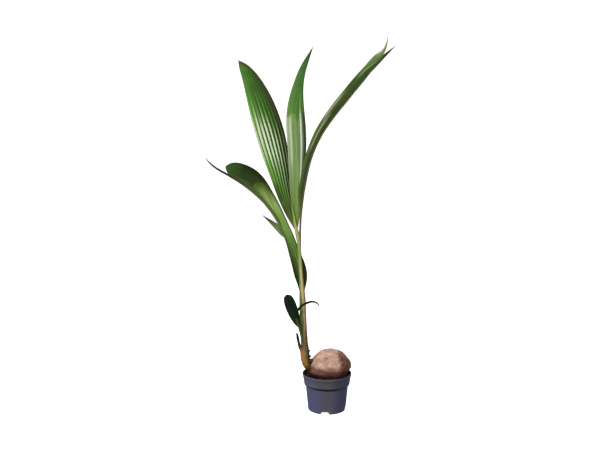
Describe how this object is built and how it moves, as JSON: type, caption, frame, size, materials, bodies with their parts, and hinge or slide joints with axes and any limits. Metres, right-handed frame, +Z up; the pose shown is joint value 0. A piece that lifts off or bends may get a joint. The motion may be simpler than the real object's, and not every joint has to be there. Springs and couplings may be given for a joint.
{
  "type": "potted young coconut palm",
  "caption": "Young coconut palm sprouted from a nut that lies half buried in a round nursery pot, with a slender shoot and long pleated leaves split into lobes.",
  "frame": {"origin": "the middle of the pot's flat underside, where it stands", "axes": "+Z up along the pot's axis, the front of the picture towards -Y, +X to the right"},
  "size_m": [0.7194, 0.322, 1.4283],
  "materials": {
    "pot_plastic": "satin",
    "soil": "loose and moist",
    "husk": "dry and wrinkled",
    "fibre": "torn fibres",
    "stem": "smooth",
    "sheath": "dry",
    "stalk": "satin",
    "leaf": "glossy, pleated"
  },
  "bodies": {
    "root": {"pot": "pot_plastic", "soil": "soil", "coconut": "husk", "stalk_scar": "husk", "husk_fibre_1": "fibre", "husk_fibre_2": "fibre", "husk_fibre_3": "fibre", "stem": "stem", "outer_sheath": "sheath", "front_leaf_stalk": "stalk", "front_leaf_left_lobe": "leaf", "front_leaf_right_lobe": "leaf", "right_leaf_stalk": "stalk", "right_leaf_near_lobe": "leaf", "right_leaf_far_lobe": "leaf", "left_leaf_blade": "leaf", "left_leaf_tail": "leaf", "left_leaf_side_point": "leaf", "small_leaf_stalk": "stalk", "small_leaf_lobe": "leaf", "small_leaf_curl": "leaf", "small_leaf_curl_tip": "leaf"}
  },
  "joints": []
}
